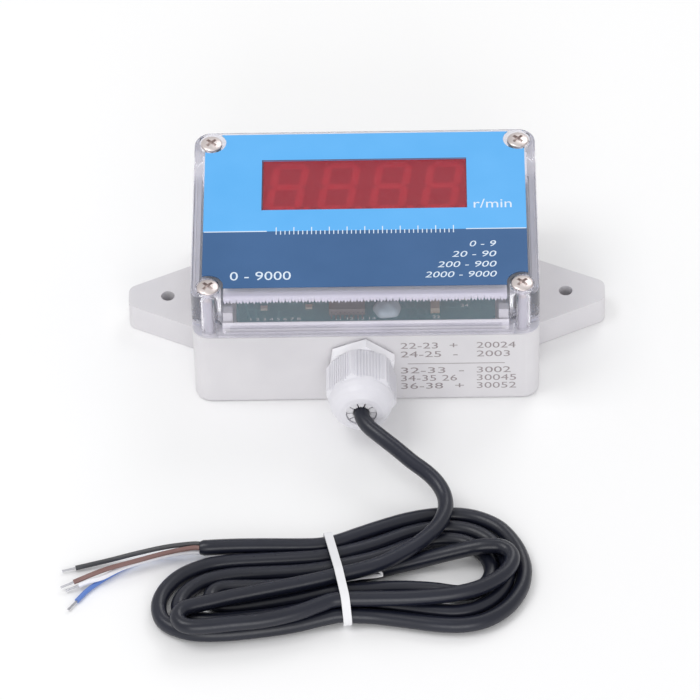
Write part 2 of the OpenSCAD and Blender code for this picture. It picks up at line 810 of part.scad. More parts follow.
// Outline of the nut's hexagon with upright ribs on every flat
function ribbed_hexagon(flats) =
    let (
        apothem = flats / 2,
        side = flats * tan(30),
        pitch = side * 0.8 / rib_count
    )
    [
        for (f = [0:5])
            let (a = 60 * f + 90, out = [cos(a), sin(a)], along = [-sin(a), cos(a)])
            each [
                for (i = [0:rib_count - 1], e = [0:3])
                    let (
                        at = (i - (rib_count - 1) / 2 + (e < 2 ? -0.25 : 0.25)) * pitch,
                        lift = e == 1 || e == 2 ? rib_h : 0
                    )
                    (apothem + lift) * out + at * along,
                apothem * out + side / 2 * along
            ]
    ];

// Dome nut: ribbed hexagon, chamfered shoulders and a round nose with the cable's mouth
module gland_nut() {
    corner_out = gland_flats / 2 / cos(30);
    chamfer = 0.8;
    rim = 0.5;
    nose_r = gland_flats / 2 + 0.4;
    nose_in = nose_r - mouth_r - rim;
    nose = [for (a = [0:15:90]) [mouth_r + rim + nose_in * cos(a), dome_a + dome_len * sin(a)]];
    color("#e9e8ed") on_gland() difference() {
        union() {
            intersection() {
                translate([0, 0, nut_a]) linear_extrude(nut_hex_len + chamfer)
                    rotate(-nut_turn) polygon(ribbed_hexagon(gland_flats));
                rotate_extrude() polygon([
                    [0, nut_a], [corner_out - chamfer, nut_a], [corner_out + rib_h, nut_a + chamfer],
                    [corner_out + rib_h, dome_a - chamfer], [nose_r, dome_a + chamfer], [0, dome_a + chamfer]
                ]);
            }
            rotate_extrude() polygon([
                [0, dome_a - chamfer], [nose_r - chamfer, dome_a - chamfer], each nose, [0, mouth_a]
            ]);
        }
        rotate_extrude() polygon([
            [0, nut_a - 1], [nut_bore_r, nut_a - 1], [nut_bore_r, dome_a - nest_gap],
            [mouth_r, claw_out_a - claw_nose + nest_gap], [mouth_r, mouth_a + 1], [0, mouth_a + 1]
        ]);
    }
}

// Free stretch of the cable from the gland to the hank
module signal_cable() {
    color("#34353c") tube(curve(lead_route, lead_steps), cable_d, lead_sides);
}

// Outline of the hank: two round end loops drawn in at the waist, and the sheath's free end
module hank_outline() {
    hull() {
        translate(hank_left) circle(hank_left_r);
        waist_block();
    }
    hull() {
        translate(hank_right) circle(hank_right_r);
        waist_block();
    }
}

module waist_block() {
    translate(waist_mid) rotate(waist_turn) square([waist_len, waist_w], center = true);
}

// Folded cable as one body, with a notch where the tie holds it
module cable_hank() {
    color("#34353c") {
        difference() {
            translate([0, 0, tie_t]) linear_extrude(hank_top - tie_t) hank_outline();
            translate(waist_mid) rotate(waist_turn) difference() {
                cube([tie_w + 2 * tie_gap, 2 * waist_w, 3 * hank_top], center = true);
                cube([tie_w + 1, waist_w, 2 * waist_top], center = true);
            }
        }
        translate([sheath_end.x, sheath_end.y - sheath_end_w / 2, tie_t])
            cube([waist_mid.x - waist_len - sheath_end.x, sheath_end_w, sheath_end_top - tie_t]);
    }
}

// Narrow plastic tie closed round the hank's waist
module cable_tie() {
    in_tall = waist_top - tie_t + tie_gap;
    color("#eeeef0") translate([waist_mid.x, waist_mid.y, tie_t + in_tall / 2]) rotate([0, 0, waist_turn])
        rotate([90, 0, 90]) linear_extrude(tie_w, center = true) difference() {
            square([waist_w + 2 * tie_gap + 2 * tie_t, in_tall + 2 * tie_t], center = true);
            square([waist_w + 2 * tie_gap, in_tall], center = true);
        }
}

module core_wire(route) {
    tube(curve(route, wire_steps), core_d, wire_sides);
}

module wire_black() {
    color("#4a4b4e") core_wire(wire_black_route);
}

module wire_brown() {
    color("#7d5f5c") core_wire(wire_brown_route);
}

module wire_white() {
    color("#eeeef2") core_wire(wire_white_route);
}

module wire_blue() {
    color("#5f80c4") core_wire(wire_blue_route);
}

// Tinned strands that stand straight out of the four core wires
module stripped_ends() {
    color("#c4c4c8") for (r = [wire_black_route, wire_brown_route, wire_white_route, wire_blue_route]) {
        c = curve(r, wire_steps);
        end = c[len(c) - 1];
        tube([end, end + strand_len * heading(c, len(c) - 1)], strand_d, wire_sides);
    }
}

rear_case();
lid_gasket();
front_cover();
cover_screws();
face_label();
display_filter();
main_board();
board_screws();
display_module();
digit_segments();
display_pins();
controller_chip();
voltage_regulator();
filter_capacitor();
chip_components();
sealant_bead();
inner_leads();
gland_body();
gland_washer();
gland_locknut();
gland_seal();
gland_claw();
gland_nut();
signal_cable();
cable_hank();
cable_tie();
wire_black();
wire_brown();
wire_white();
wire_blue();
stripped_ends();
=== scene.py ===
import math

import bmesh
import bpy
from mathutils import Matrix, Vector


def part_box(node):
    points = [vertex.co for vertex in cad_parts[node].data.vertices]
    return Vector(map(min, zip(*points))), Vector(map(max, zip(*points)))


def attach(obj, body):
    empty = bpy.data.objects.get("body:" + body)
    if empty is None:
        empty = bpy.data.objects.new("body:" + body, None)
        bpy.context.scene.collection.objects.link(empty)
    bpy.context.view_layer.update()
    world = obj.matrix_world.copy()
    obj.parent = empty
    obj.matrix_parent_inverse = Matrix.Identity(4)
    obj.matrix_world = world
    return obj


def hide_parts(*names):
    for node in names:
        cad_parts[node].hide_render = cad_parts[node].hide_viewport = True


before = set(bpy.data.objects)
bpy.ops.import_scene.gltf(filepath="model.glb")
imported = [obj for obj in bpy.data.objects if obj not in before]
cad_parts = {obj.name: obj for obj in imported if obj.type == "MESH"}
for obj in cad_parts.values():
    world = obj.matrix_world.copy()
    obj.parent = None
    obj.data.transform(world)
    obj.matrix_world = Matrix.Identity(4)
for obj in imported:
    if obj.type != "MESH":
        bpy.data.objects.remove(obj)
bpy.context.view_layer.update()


# Rear case: a tub moulded in white ABS, with an ear at each side for the wall screws.
# The mould leaves a fine grain and a satin shine, and the colour drifts a little from place to place.
MM = 0.001
GRAIN_DEPTH = 0.05 * MM
DRIFT_SHARE = 0.04
DRIFT_SPAN = (0.3, 0.7)
GRAIN_SPAN = (0.25, 0.75)


def rgb(r, g, b):
    """A colour given in 0-255 screen values, as the linear values that a socket takes."""
    lin = [c / 255 / 12.92 if c <= 10 else ((c / 255 + 0.055) / 1.055) ** 2.4 for c in (r, g, b)]
    return (*lin, 1.0)


def new_group(name, inputs, outputs):
    """An empty shader group with its ends, and the calls that add and link its nodes."""
    group = bpy.data.node_groups.new(name, "ShaderNodeTree")
    for label, kind in inputs:
        group.interface.new_socket(label, in_out="INPUT", socket_type="NodeSocket" + kind)
    for label, kind in outputs:
        group.interface.new_socket(label, in_out="OUTPUT", socket_type="NodeSocket" + kind)
    add = group.nodes.new
    return group, add("NodeGroupInput"), add("NodeGroupOutput"), add, group.links.new


def mix_colour(add, link, factor, a, b):
    """Colour a where the factor is 0 and colour b where it is 1."""
    mix = add("ShaderNodeMix")
    mix.data_type = "RGBA"
    link(factor, mix.inputs[0])
    for value, socket in ((a, mix.inputs[6]), (b, mix.inputs[7])):
        if isinstance(value, tuple):
            socket.default_value = value
        else:
            link(value, socket)
    return mix.outputs[2]


def maths(add, link, operation, a, b):
    """The operation on two values, each a number or a socket."""
    node = add("ShaderNodeMath")
    node.operation = operation
    for value, socket in ((a, node.inputs[0]), (b, node.inputs[1])):
        if isinstance(value, (int, float)):
            socket.default_value = value
        else:
            link(value, socket)
    return node.outputs[0]


def remap(add, link, value, low, high, to_low, to_high):
    """The value moved from one span to another, and held at its ends."""
    node = add("ShaderNodeMapRange")
    link(value, node.inputs[0])
    for socket, x in zip(node.inputs[1:5], (low, high, to_low, to_high)):
        if isinstance(x, (int, float)):
            socket.default_value = x
        else:
            link(x, socket)
    return node.outputs[0]


def noise(add, link, place, scale, detail=2.0):
    """Soft noise over the place, with the scale as a number or a socket."""
    node = add("ShaderNodeTexNoise")
    link(place, node.inputs["Vector"])
    node.inputs["Detail"].default_value = detail
    if isinstance(scale, (int, float)):
        node.inputs["Scale"].default_value = scale
    else:
        link(scale, node.inputs["Scale"])
    return node.outputs[0]


moulded_skin, given, taken, add, link = new_group(
    "moulded_skin",
    [("Colour", "Color"), ("Shade", "Color"), ("Grain", "Float"), ("Smooth", "Float"), ("Rough", "Float")],
    [("Colour", "Color"), ("Roughness", "Float"), ("Height", "Float")],
)
place = add("ShaderNodeTexCoord").outputs["Object"]
fine = noise(add, link, place, given.outputs["Grain"], detail=3.0)
broad = noise(add, link, place, maths(add, link, "MULTIPLY", given.outputs["Grain"], DRIFT_SHARE))
drift = remap(add, link, broad, *DRIFT_SPAN, 0.0, 1.0)
link(mix_colour(add, link, drift, given.outputs["Colour"], given.outputs["Shade"]), taken.inputs["Colour"])
link(
    remap(add, link, fine, *GRAIN_SPAN, given.outputs["Smooth"], given.outputs["Rough"]),
    taken.inputs["Roughness"],
)
link(fine, taken.inputs["Height"])


def new_material(name):
    """A material, the calls that add and link its nodes, and its shader."""
    material = bpy.data.materials.new(name)
    material.use_nodes = True
    return material, *nodes_of(material)


def nodes_of(material):
    """The calls that add and link a material's nodes, and its shader."""
    tree = material.node_tree
    return tree.nodes.new, tree.links.new, tree.nodes["Principled BSDF"]


def skinned(name, colour, shade, grain, smooth, rough, bump, **sockets):
    """A material on the moulded skin, with the constant values of its shader's own sockets."""
    material, add, link, shader = new_material(name)
    skin = add("ShaderNodeGroup")
    skin.node_tree = moulded_skin
    skin.inputs["Colour"].default_value = colour
    skin.inputs["Shade"].default_value = shade
    skin.inputs["Grain"].default_value = grain
    skin.inputs["Smooth"].default_value = smooth
    skin.inputs["Rough"].default_value = rough
    relief = add("ShaderNodeBump")
    relief.inputs["Strength"].default_value = bump
    relief.inputs["Distance"].default_value = GRAIN_DEPTH
    link(skin.outputs["Colour"], shader.inputs["Base Color"])
    link(skin.outputs["Roughness"], shader.inputs["Roughness"])
    link(skin.outputs["Height"], relief.inputs["Height"])
    link(relief.outputs["Normal"], shader.inputs["Normal"])
    for socket, value in sockets.items():
        shader.inputs[socket.replace("_", " ")].default_value = value
    return material


def dress(node, material):
    """Gives a CAD node its material."""
    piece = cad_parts[node]
    for slot in piece.material_slots:
        slot.material = material
    if not piece.material_slots:
        piece.data.materials.append(material)


case_white = skinned(
    "case_white", rgb(222, 220, 223), rgb(214, 212, 216), grain=1400, smooth=0.42, rough=0.56, bump=0.25
)
dress("rear_case", case_white)


# Wiring key: small grey marks pad-printed on the gland wall, numbers and a rule with no words.
# The ink lies flat on the plastic, a little shinier than the wall, and paler in places.
INK_T = 0.01 * MM
LETTER_ARC_STEPS = 3
KEY_LEFT, KEY_RIGHT, KEY_DIGIT_H = 9.9, 31.8, 2.4
KEY_RULE = (11.9, 14.5, 39.9, 14.75)
key_rows = (
    (20.8, "22-23  +", 16.4, "20024", 11.2),
    (17.3, "24-25  -", 16.4, "2003", 9.6),
    (10.7, "32-33  -", 18.2, "3002", 9.8),
    (7.5, "34-35 26", 16.2, "30045", 11.4),
    (4.3, "36-38  +", 18.2, "30052", 11.4),
)


def add_piece(name, data, material):
    """A new object in the scene, with its material."""
    piece = bpy.data.objects.new(name, data)
    bpy.context.scene.collection.objects.link(piece)
    data.materials.append(material)
    return piece


def mesh_piece(name, work, material):
    """A new object from a finished working mesh."""
    mesh = bpy.data.meshes.new(name)
    work.to_mesh(mesh)
    work.free()
    return add_piece(name, mesh, material)


def flat_mesh(name, outlines, material):
    """Printed ink as one thin mesh of flat outlines, each a list of (x, y) in mm."""
    work = bmesh.new()
    for outline in outlines:
        work.faces.new([work.verts.new((x * MM, y * MM, 0)) for x, y in outline])
    bmesh.ops.recalc_face_normals(work, faces=work.faces)
    for face in work.faces:
        if face.normal.z < 0:
            face.normal_flip()
    grown = bmesh.ops.extrude_face_region(work, geom=work.faces[:])
    lifted = [v for v in grown["geom"] if isinstance(v, bmesh.types.BMVert)]
    bmesh.ops.translate(work, verts=lifted, vec=(0, 0, INK_T))
    bmesh.ops.recalc_face_normals(work, faces=work.faces)
    return mesh_piece(name, work, material)


def rule(x0, y0, x1, y1):
    """Outline of a bar between two corners, in mm."""
    return [(x0, y0), (x1, y0), (x1, y1), (x0, y1)]


def lettering(name, lines, material, slant=0.0):
    """Flat letters as one mesh. Each line is (text, x, y, height, width, align), in mm."""
    work = bmesh.new()
    for text, x, y, height, width, align in lines:
        font = bpy.data.curves.new(name + "_line", "FONT")
        font.body = text
        font.extrude = INK_T / 2
        font.resolution_u = LETTER_ARC_STEPS
        font.shear = slant
        writer = bpy.data.objects.new(name + "_line", font)
        bpy.context.scene.collection.objects.link(writer)
        bpy.context.view_layer.update()
        ready = writer.evaluated_get(bpy.context.evaluated_depsgraph_get())
        mesh = bpy.data.meshes.new_from_object(ready)
        low = [min(v.co[k] for v in mesh.vertices) for k in range(3)]
        high = [max(v.co[k] for v in mesh.vertices) for k in range(3)]
        tall = height * MM / (high[1] - low[1])
        wide = width * MM / (high[0] - low[0])
        start = {"left": low[0], "right": high[0]}[align]
        for v in mesh.vertices:
            across = x * MM + (v.co.x - start) * wide
            v.co = Vector((across, y * MM + (v.co.y - low[1]) * tall, v.co.z - low[2]))
        work.from_mesh(mesh)
        bpy.data.objects.remove(writer)
        bpy.data.meshes.remove(mesh)
    return mesh_piece(name, work, material)


key_ink = skinned(
    "key_ink", rgb(142, 133, 135), rgb(158, 150, 152), grain=2600, smooth=0.3, rough=0.45, bump=0.05
)
wiring_rule = flat_mesh("wiring_rule", [rule(*KEY_RULE)], key_ink)
wiring_numbers = lettering(
    "wiring_numbers",
    [(left, KEY_LEFT, y, KEY_DIGIT_H, left_w, "left") for y, left, left_w, _, _ in key_rows]
    + [(right, KEY_RIGHT, y, KEY_DIGIT_H, right_w, "left") for y, _, _, right, right_w in key_rows],
    key_ink,
)
gland_wall_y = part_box("rear_case")[0].y
on_gland_wall = Matrix.Translation((0, gland_wall_y, 0)) @ Matrix.Rotation(math.radians(90), 4, "X")
for piece in (wiring_rule, wiring_numbers):
    piece.matrix_world = on_gland_wall
    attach(piece, "root")


# Cable gland: a white nylon body through the wall with a washer, a locknut inside, and a ribbed dome nut.
# Under the nut a ring of fingers squeezes a soft sleeve onto the cable and seals it.
gland_nylon = skinned(
    "gland_nylon", rgb(232, 231, 236), rgb(222, 221, 228), grain=1100, smooth=0.3, rough=0.44, bump=0.2,
    Subsurface_Weight=0.4, Subsurface_Radius=(1, 1, 1), Subsurface_Scale=0.8 * MM,
)
# The flange takes a lighter copy of the same nylon, as painted light for its upper faces, which get less
# light by the wall.
flange_nylon_painted_light = skinned(
    "flange_nylon_painted_light", rgb(252, 251, 254), rgb(244, 243, 248), grain=1100, smooth=0.34, rough=0.48, bump=0.2
)
finger_nylon = skinned(
    "finger_nylon", rgb(240, 239, 243), rgb(228, 227, 232), grain=1500, smooth=0.28, rough=0.4, bump=0.15
)
washer_rubber = skinned(
    "washer_rubber", rgb(206, 205, 209), rgb(192, 191, 196), grain=1800, smooth=0.5, rough=0.7, bump=0.3
)
seal_rubber = skinned(
    "seal_rubber", rgb(142, 141, 146), rgb(126, 125, 131), grain=1800, smooth=0.55, rough=0.75, bump=0.35
)
dress("gland_body", flange_nylon_painted_light)
dress("gland_locknut", gland_nylon)
dress("gland_nut", gland_nylon)
dress("gland_claw", finger_nylon)
dress("gland_washer", washer_rubber)
dress("gland_seal", seal_rubber)


# Sensor cable: black PVC sheath on four cores, about a metre in all, folded over and over into a flat hank.
# It leaves the gland straight, drops onto the hank and runs under the tie into the hank's loops.
CABLE_D = 4.5
CABLE_SIDES = 4
CABLE_STEPS = 5
CUT_END_SHARE = 0.8
lead = [
    (-1.5, -40, 15.5), (-1.5, -46, 15.5), (-1.5, -51, 15.5), (-1.5, -54.4, 15.5), (-1.1, -57.6, 15.5),
    (0.4, -60.4, 15.3), (2.6, -62.7, 14.9), (5.2, -65, 14.3), (8.4, -67.6, 13.3), (12.7, -71.1, 11.7),
    (17.2, -74.3, 10.1), (20.3, -77.7, 8.8), (22, -81.8, 7.8), (22, -86.4, 7.4), (20.3, -91.1, 7.2),
    (17.6, -95.1, 7.1), (13.6, -99.1, 7), (9.1, -102.6, 7), (4.6, -105.5, 7), (0.2, -107.7, 7.15),
]
upper_left_loop = [
    (-8.5, -110.4, 7.1), (-14, -112, 7), (-20.4, -113.6, 6.9), (-29.3, -115.8, 6.9), (-38.2, -118, 6.9),
    (-43.6, -119.6, 6.9), (-47.2, -120.6, 6.9), (-50, -121.5, 6.9), (-51.8, -122.6, 6.9),
    (-52.8, -124.3, 6.9), (-52.8, -126.1, 6.9), (-51.7, -127.8, 6.9), (-49.9, -128.7, 6.9),
    (-47.4, -128.9, 6.9), (-43.6, -128.6, 6.9), (-37.4, -127.8, 6.9), (-29.1, -126.8, 6.9),
    (-20.2, -124.4, 7), (-13.5, -121.5, 7.1), (-8.5, -119.6, 7.1),
]
upper_right_loop = [
    (2, -119.3, 7), (10, -119.2, 6.9), (19.1, -118.6, 6.9), (26, -117.4, 6.9), (32, -115.2, 6.9),
    (37.6, -111.1, 6.9), (40.1, -107.2, 6.9), (40.6, -104.1, 6.9), (39.6, -101.6, 6.9), (37.3, -100.1, 7),
    (34.4, -99.8, 7), (31.6, -99.8, 6.7), (28, -99.7, 5.7), (20.3, -100.4, 3.9), (12.5, -101.8, 2.7),
    (6, -103.5, 2.4), (-1, -105.8, 2.5),
]
inner_left_loop = [
    (-8.5, -108.2, 3.15), (-14, -109, 2.8), (-20, -109.7, 2.5), (-28, -110.2, 2.3), (-35, -110.2, 2.3),
    (-38.4, -110.2, 2.3), (-41, -110.5, 2.3), (-43, -111.6, 2.3), (-44, -113.2, 2.3), (-44, -114.9, 2.3),
    (-43, -116.5, 2.3), (-41, -117.5, 2.3), (-38.4, -117.8, 2.3), (-35, -117.5, 2.3), (-28, -116.3, 2.3),
    (-20, -114.8, 2.4), (-14, -113.5, 2.8), (-8.5, -112.7, 3.15),
]
inner_right_loop = [
    (0, -111.8, 2.5), (9, -111.3, 2.3), (18, -112, 2.3), (25, -113.4, 2.4), (30, -112.8, 2.4),
    (33.4, -109.8, 2.4), (34.8, -105.6, 2.4), (34.1, -101.4, 2.4), (31.8, -97.6, 2.4), (28, -94.6, 2.4),
    (23.6, -93.3, 2.4), (18.2, -93.5, 2.4), (12.4, -95.1, 2.4), (6.4, -98, 2.4), (0, -100.7, 2.6),
]
middle_left_loop = [
    (-8.5, -103.5, 3.15), (-14, -104.4, 2.8), (-20.4, -104.9, 2.5), (-29.4, -105.1, 2.3),
    (-38.4, -105.7, 2.3), (-45.8, -107.8, 2.3), (-51, -112, 2.3), (-53, -117, 2.3), (-51.2, -120.6, 2.3),
    (-45, -122.4, 2.3), (-37, -122.3, 2.3), (-28, -121.2, 2.3), (-20, -119.6, 2.3), (-14, -118.2, 2.7),
    (-8.5, -117.3, 3.15),
]
middle_right_loop = [
    (1, -117.2, 2.5), (10.5, -118.6, 2.35), (19, -120.1, 2.35), (25.3, -120.6, 2.35), (30.5, -119.2, 2.35),
    (35, -116, 2.35), (38.2, -111.2, 2.35), (39.4, -106, 2.35), (38.8, -101.2, 2.35), (37, -97, 2.4),
    (33.8, -92.8, 2.4), (29.4, -89.9, 2.4), (24.4, -88.6, 2.4), (18.2, -88.8, 2.4), (11.8, -90.4, 2.4),
    (5.4, -93.3, 2.5), (0, -95.8, 2.7),
]
outer_left_loop = [
    (-8.5, -98.9, 3.15), (-14, -99.9, 3.1), (-20.5, -100.2, 2.9), (-29.5, -100.3, 2.6), (-38.5, -100.6, 2.4),
    (-45.6, -102, 2.4), (-52.8, -106, 2.4), (-57.4, -112.1, 2.4), (-58.5, -118.5, 2.4), (-56.2, -123.7, 2.3),
    (-49.6, -127, 2.3), (-40.7, -127.5, 2.3), (-29.2, -126.2, 2.3), (-20.3, -124.5, 2.3), (-14, -123, 2.7),
    (-8.5, -121.9, 3.15),
]
outer_right_loop = [
    (-4.2, -121.8, 2.9), (2.1, -122, 2.5), (10.6, -123.4, 2.4), (19, -125, 2.4), (26.4, -125.4, 2.4),
    (33, -123.7, 2.4), (38.8, -119.2, 2.4), (42.8, -112.4, 2.4), (44, -106, 2.4), (43.3, -100.3, 2.4),
    (41.3, -94.8, 2.4), (37.2, -88.8, 2.4), (31.2, -85, 2.4), (25, -83.7, 2.5), (18.2, -83.9, 2.5),
    (10.9, -85.6, 2.6), (3.6, -88.5, 2.8), (-2.5, -91.3, 3),
]
sheath_tail = [
    (-8.5, -94.1, 3.15), (-14, -95.3, 3.1), (-20.5, -95.4, 3.1), (-29.5, -95.4, 3.3), (-38.5, -95.7, 3.6),
    (-47.5, -96.4, 3.9),
]


def smooth_line(points, steps):
    """Points in metres on one smooth line through the given points in mm."""
    p = [Vector(q) * MM for q in points]
    line = []
    for i in range(len(p) - 1):
        a, b, c, d = p[max(i - 1, 0)], p[i], p[i + 1], p[min(i + 2, len(p) - 1)]
        for k in range(steps):
            t = k / steps
            square, cube = 2 * a - 5 * b + 4 * c - d, 3 * b - a - 3 * c + d
            line.append(0.5 * (2 * b + (c - a) * t + square * t**2 + cube * t**3))
    return line + [p[-1]]


def round_cord(name, line, diameter, material, sides):
    """A round cord of the diameter in mm along the line, as one open spline with closed ends."""
    curve = bpy.data.curves.new(name, "CURVE")
    curve.dimensions = "3D"
    curve.bevel_depth = diameter / 2 * MM
    curve.bevel_resolution = sides
    curve.use_fill_caps = True
    spline = curve.splines.new("POLY")
    spline.points.add(len(line) - 1)
    for point, spot in zip(spline.points, line):
        point.co = (*spot, 1)
    spline.use_smooth = True
    return add_piece(name, curve, material)


sheath_black = skinned(
    "sheath_black", rgb(19, 22, 35), rgb(26, 29, 44), grain=900, smooth=0.27, rough=0.38, bump=0.1
)
route = (
    lead + upper_left_loop + upper_right_loop + inner_left_loop + inner_right_loop + middle_left_loop
    + middle_right_loop + outer_left_loop + outer_right_loop + sheath_tail
)
sensor_cable = round_cord("sensor_cable", smooth_line(route, CABLE_STEPS), CABLE_D, sheath_black, CABLE_SIDES)
sensor_cable.data.splines[0].points[-1].radius = CUT_END_SHARE
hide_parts("signal_cable", "cable_hank")
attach(sensor_cable, "root")


# Tie: a narrow white strap pulled tight round the waist of the hank, with its tail tucked under the lead.
# It bends over the upper two strands and lies flat under the hank.
TIE_W, TIE_T, TIE_CLEAR = 2.4, 0.8, 0.05
TIE_X, TIE_Y, TIE_TURN = -8.5, -108.1, math.radians(10)
TIE_EDGE, TIE_EDGE_STEPS = 0.32, 3
STRAP_POINTS, STRAND_POINTS = 120, 40
BENCH_CLEAR = 0.02
TAIL_HALF_T = 0.16
strands_under_tie = [
    (13.9, 3.15), (9.3, 3.15), (4.6, 3.15), (0, 3.15), (-4.6, 3.15), (-9.2, 3.15), (-13.9, 3.15),
    (-2.2, 7.1), (-11.6, 7.1),
]
tail_line = [
    (-7.4, -110.2, 4.85), (-1.5, -109.2, 4.9), (2.4, -109, 5), (4.4, -108.9, 5.3), (3.7, -108.4, 5.9),
    (2.2, -108, 6.3),
]
tail_half_w = (0.8, 0.8, 0.7, 0.6, 0.5, 0.2)


def strap_outline(centres, reach):
    """Tight outline round circles of that reach, anticlockwise, as (across, height) in mm."""
    cloud = sorted(
        (y + reach * math.cos(a), z + reach * math.sin(a))
        for y, z in centres
        for a in (2 * math.pi * k / STRAND_POINTS for k in range(STRAND_POINTS))
    )

    def half(points):
        chain = []
        for p in points:
            while len(chain) > 1 and (
                (chain[-1][0] - chain[-2][0]) * (p[1] - chain[-2][1])
                - (chain[-1][1] - chain[-2][1]) * (p[0] - chain[-2][0])
            ) <= 0:
                chain.pop()
            chain.append(p)
        return chain[:-1]

    return half(cloud) + half(cloud[::-1])


def evenly(outline, count):
    """The closed outline again, as that many evenly spaced points."""
    sides = [math.dist(a, b) for a, b in zip(outline, outline[1:] + outline[:1])]
    total, points = sum(sides), []
    for k in range(count):
        left, i = total * k / count, 0
        while left > sides[i]:
            left -= sides[i]
            i += 1
        a, b = outline[i], outline[(i + 1) % len(outline)]
        share = left / sides[i]
        points.append((a[0] + (b[0] - a[0]) * share, a[1] + (b[1] - a[1]) * share))
    return points


def join_rings(work, rings):
    """Walls from each ring of four corners to the next."""
    for ring, following in zip(rings, rings[1:]):
        for k in range(4):
            work.faces.new((ring[k], ring[(k + 1) % 4], following[(k + 1) % 4], following[k]))


work = bmesh.new()
strand_reach = CABLE_D / 2 + TIE_CLEAR
inside = evenly(strap_outline(strands_under_tie, strand_reach), STRAP_POINTS)
outside = evenly(strap_outline(strands_under_tie, strand_reach + TIE_T), STRAP_POINTS)
strap_rings = []
for inner, outer in zip(inside, outside):
    corners = [(-1, inner), (1, inner), (1, outer), (-1, outer)]
    strap_rings.append([
        work.verts.new((side * TIE_W / 2 * MM, y * MM, max(z, BENCH_CLEAR) * MM)) for side, (y, z) in corners
    ])
join_rings(work, strap_rings + strap_rings[:1])
tie_place = Matrix.Translation((TIE_X * MM, TIE_Y * MM, 0)) @ Matrix.Rotation(TIE_TURN, 4, "Z")
bmesh.ops.transform(work, matrix=tie_place, verts=work.verts)
tail_rings = []
for (x, y, z), half_w in zip(tail_line, tail_half_w):
    corners = [(-half_w, -TAIL_HALF_T), (half_w, -TAIL_HALF_T), (half_w, TAIL_HALF_T), (-half_w, TAIL_HALF_T)]
    tail_rings.append([work.verts.new((x * MM, (y + s) * MM, (z + h) * MM)) for s, h in corners])
join_rings(work, tail_rings)
work.faces.new(tail_rings[0])
work.faces.new(tail_rings[-1][::-1])
bmesh.ops.recalc_face_normals(work, faces=work.faces)
tie_white = skinned(
    "tie_white", rgb(240, 240, 242), rgb(228, 228, 232), grain=1600, smooth=0.4, rough=0.6, bump=0.3
)
hank_tie = mesh_piece("hank_tie", work, tie_white)
softened = hank_tie.modifiers.new("softened_edges", "BEVEL")
softened.width = TIE_EDGE * MM
softened.segments = TIE_EDGE_STEPS
softened.limit_method = "ANGLE"
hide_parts("cable_tie")
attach(hank_tie, "root")


# Core wires: four thin PVC-covered wires that fan out of the cut sheath, each stripped at its end.
# The bare copper is tinned and twisted, with the strands still showing.
CORE_D = 1.4
CORE_SIDES = 3
CORE_STEPS = 6
STRIPPED, TUCKED_IN = 4.2, 0.3
STRAND_D, STRAND_SIDES, STRAND_STEPS = 0.24, 2, 14
OUTER_STRANDS, STRAND_OUT, STRAND_SPLAY = 6, 0.23, 0.03
STRAND_TWIST, SPLAY_TURN = 2.6, 2.1
cores = {
    "black": (0.036, rgb(66, 67, 70), rgb(80, 80, 84), [
        (-47.5, -95.6, 4.8), (-50, -95.6, 4.8), (-57, -96.2, 4.3), (-65, -97.2, 3), (-73, -98.6, 1.7),
        (-82.5, -100.8, 1),
    ]),
    "brown": (0.037, rgb(122, 90, 86), rgb(136, 106, 102), [
        (-47.5, -97.2, 4.8), (-50, -97.2, 4.8), (-57, -98.7, 4.5), (-65, -101.1, 4.1), (-74, -104, 3.7),
        (-82.8, -107.1, 2),
    ]),
    "white": (0.037, rgb(240, 240, 245), rgb(228, 228, 236), [
        (-47.5, -97.2, 3), (-50, -97.2, 3), (-56, -97.8, 2.8), (-62, -99.4, 2.5), (-66.8, -101, 2.3),
        (-70.7, -103, 2.25), (-74.7, -105.7, 2.25), (-78.2, -107, 2.25), (-81.3, -108, 1.6),
    ]),
    "blue": (0.040, rgb(84, 120, 196), rgb(104, 136, 204), [
        (-47.5, -95.6, 3), (-50, -95.6, 2.9), (-55, -95.7, 1.7), (-60, -96.5, 0.9), (-65, -98.3, 0.8),
        (-69, -100.8, 0.8), (-72.2, -103.2, 0.8), (-75.4, -105.8, 0.8), (-78.8, -109.1, 0.8),
        (-81.8, -113.2, 0.8),
    ]),
}
tinned = skinned(
    "tinned", rgb(206, 206, 210), rgb(178, 178, 184), grain=4000, smooth=0.25, rough=0.5, bump=0.2,
    Metallic=0.85,
)


def twisted_strands(name, line, material):
    """One straight strand and a ring of strands laid round it, past the end of the line."""
    way = (line[-1] - line[-2]).normalized()
    across = way.cross(Vector((0, 0, 1))).normalized()
    up = across.cross(way)
    twist = bpy.data.curves.new(name, "CURVE")
    twist.dimensions = "3D"
    twist.bevel_depth = STRAND_D / 2 * MM
    twist.bevel_resolution = STRAND_SIDES
    twist.use_fill_caps = True
    for k in range(OUTER_STRANDS + 1):
        strand = twist.splines.new("POLY")
        strand.points.add(STRAND_STEPS)
        for i, point in enumerate(strand.points):
            share = i / STRAND_STEPS
            turn = 2 * math.pi * k / OUTER_STRANDS + STRAND_TWIST * share
            splayed = STRAND_OUT + STRAND_SPLAY * math.sin(k * SPLAY_TURN) * share
            out = 0 if k == OUTER_STRANDS else splayed * MM
            spot = line[-1] + way * (STRIPPED * share - TUCKED_IN) * MM
            spot = spot + across * out * math.cos(turn) + up * out * math.sin(turn)
            point.co = (*spot, 1)
    return add_piece(name, twist, material)


for colour, (length, cover_colour, cover_shade, points) in cores.items():
    cover = skinned(
        "cover_" + colour, cover_colour, cover_shade, grain=1800, smooth=0.32, rough=0.48, bump=0.12
    )
    line = smooth_line(points, CORE_STEPS)
    core = round_cord("core_" + colour, line, CORE_D, cover, CORE_SIDES)
    strands = twisted_strands("strands_" + colour, line, tinned)
    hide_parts("wire_" + colour)
    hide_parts("stripped_ends")
    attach(core, "root")
    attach(strands, "root")


